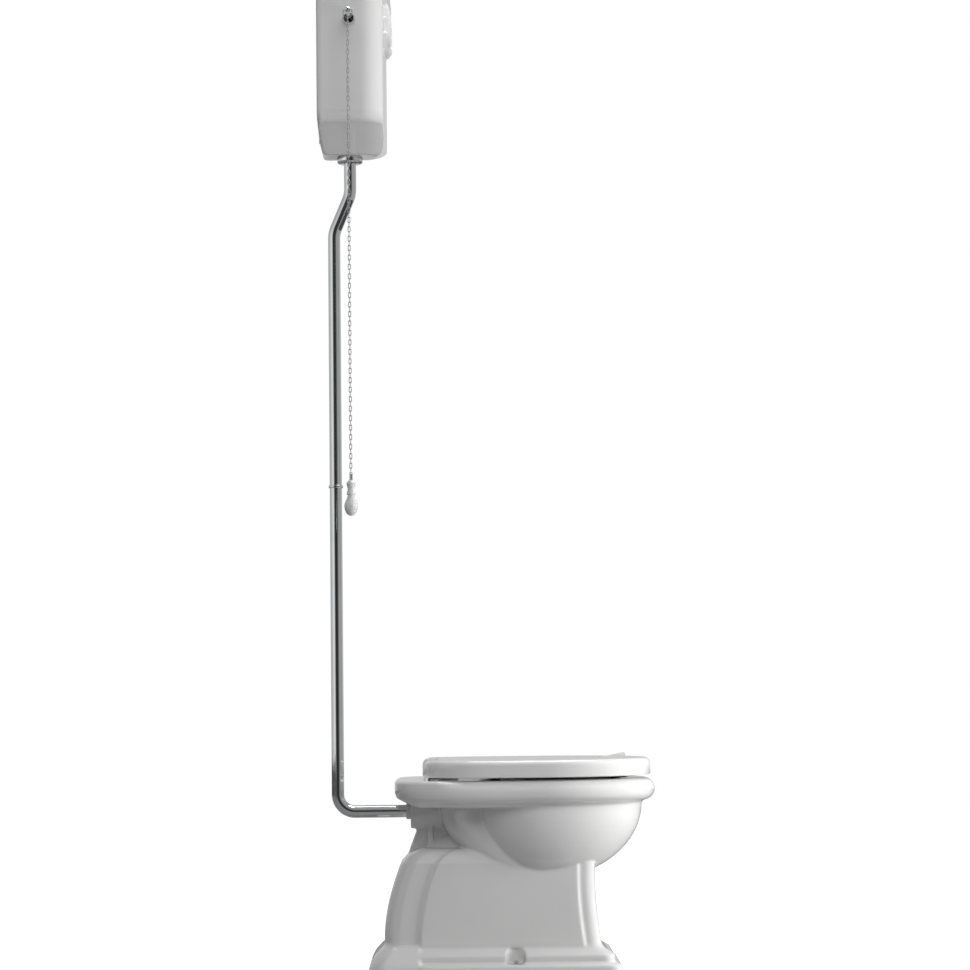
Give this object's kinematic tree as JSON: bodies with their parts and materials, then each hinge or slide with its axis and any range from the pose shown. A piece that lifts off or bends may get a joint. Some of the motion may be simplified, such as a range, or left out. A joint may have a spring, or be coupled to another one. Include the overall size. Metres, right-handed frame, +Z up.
{
  "type": "high tank pull chain toilet",
  "caption": "Floor-standing china toilet pan with hinged seat and lid, a tall chrome flush pipe and a high wall cistern worked by a lever, chain and pull handle.",
  "frame": {"origin": "centre of the floor waste outlet, in the plane of the floor", "axes": "+X to the front of the pan, away from the wall; +Y to the sitter's left; +Z up"},
  "size_m": [0.693, 0.5238, 2.107],
  "materials": {
    "china": "glossy white glaze",
    "seat": "glossy white lacquer",
    "chrome": "polished",
    "rubber": "matt",
    "plastic": "satin",
    "brass": "satin"
  },
  "bodies": {
    "fixed": {"pan_foot": "china", "pan_bowl": "china", "pan_rim": "china", "floor_screws": "chrome", "floor_screw_caps": "chrome", "floor_screw_bushes": "plastic", "hinge_pillars": "chrome", "hinge_pin": "chrome", "hinge_washers": "rubber", "hinge_wing_nuts": "brass", "inlet_cone": "plastic", "flush_pipe_lower": "chrome", "flush_pipe_upper": "chrome", "pipe_joint_sleeve": "chrome", "outlet_nut": "chrome", "pipe_olive": "rubber", "cistern_body": "china", "wall_buffer": "rubber", "lever_escutcheon": "chrome", "lever_back_nut": "brass", "lever_spindle": "brass", "valve_base": "plastic", "valve_base_washer": "rubber", "valve_cage": "plastic", "inlet_valve": "brass", "inlet_valve_washer": "rubber", "inlet_valve_nut": "brass", "float_pin": "brass"},
    "lid": {"seat_lid": "seat", "lid_buffers": "rubber", "lid_hinge_arms": "chrome"},
    "seat": {"seat_ring": "seat", "seat_buffers": "rubber", "seat_hinge_arms": "chrome"},
    "cover": {"cistern_lid": "china"},
    "lever": {"flush_lever": "chrome"},
    "hook": {"chain_hook": "chrome"},
    "pull": {"pull_chain": "chrome", "handle_ferrule": "chrome", "pull_handle": "china"},
    "valve": {"flush_valve": "plastic", "valve_seal": "rubber", "lift_wire": "brass"},
    "float": {"float_arm": "brass", "float_ball": "plastic"},
    "piston": {"inlet_piston": "plastic"}
  },
  "joints": [
    {"name": "lid_hinge", "type": "hinge", "parent": "fixed", "child": "lid", "pos_m": [0.014, 0, 0.437], "axis": [0, -1, 0], "range_deg": [0, 105]},
    {"name": "seat_hinge", "type": "hinge", "parent": "fixed", "child": "seat", "pos_m": [0.014, 0, 0.437], "axis": [0, -1, 0], "range_deg": [0, 100]},
    {"name": "cover_lift", "type": "slide", "parent": "fixed", "child": "cover", "axis": [0, 0, 1], "range_m": [0, 0.05]},
    {"name": "lever_hinge", "type": "hinge", "parent": "fixed", "child": "lever", "pos_m": [-0.1355, -0.2, 1.983], "axis": [1, 0, 0], "range_deg": [0, 14]},
    {"name": "hook_hinge", "type": "hinge", "parent": "lever", "child": "hook", "pos_m": [-0.1355, -0.276, 1.983], "axis": [1, 0, 0], "range_deg": [-14.5, 0]},
    {"name": "chain_swing", "type": "hinge", "parent": "hook", "child": "pull", "pos_m": [-0.1355, -0.276, 1.975], "axis": [0, 1, 0], "range_deg": [-12, 12]},
    {"name": "valve_lift", "type": "slide", "parent": "fixed", "child": "valve", "axis": [0, 0, 1], "range_m": [0, 0.048]},
    {"name": "float_hinge", "type": "hinge", "parent": "fixed", "child": "float", "pos_m": [-0.1355, 0.145, 2.006], "axis": [-1, 0, 0], "range_deg": [0, 25]},
    {"name": "piston_slide", "type": "slide", "parent": "fixed", "child": "piston", "axis": [0, 1, 0], "range_m": [0, 0.0077]}
  ],
  "couplings": [
    {"joint": "seat_hinge", "follows": "lid_hinge", "ratio": 0.95},
    {"joint": "hook_hinge", "follows": "lever_hinge", "ratio": -1},
    {"joint": "valve_lift", "follows": "lever_hinge", "m_per_rad": 0.196},
    {"joint": "piston_slide", "follows": "float_hinge", "m_per_rad": 0.0175}
  ]
}
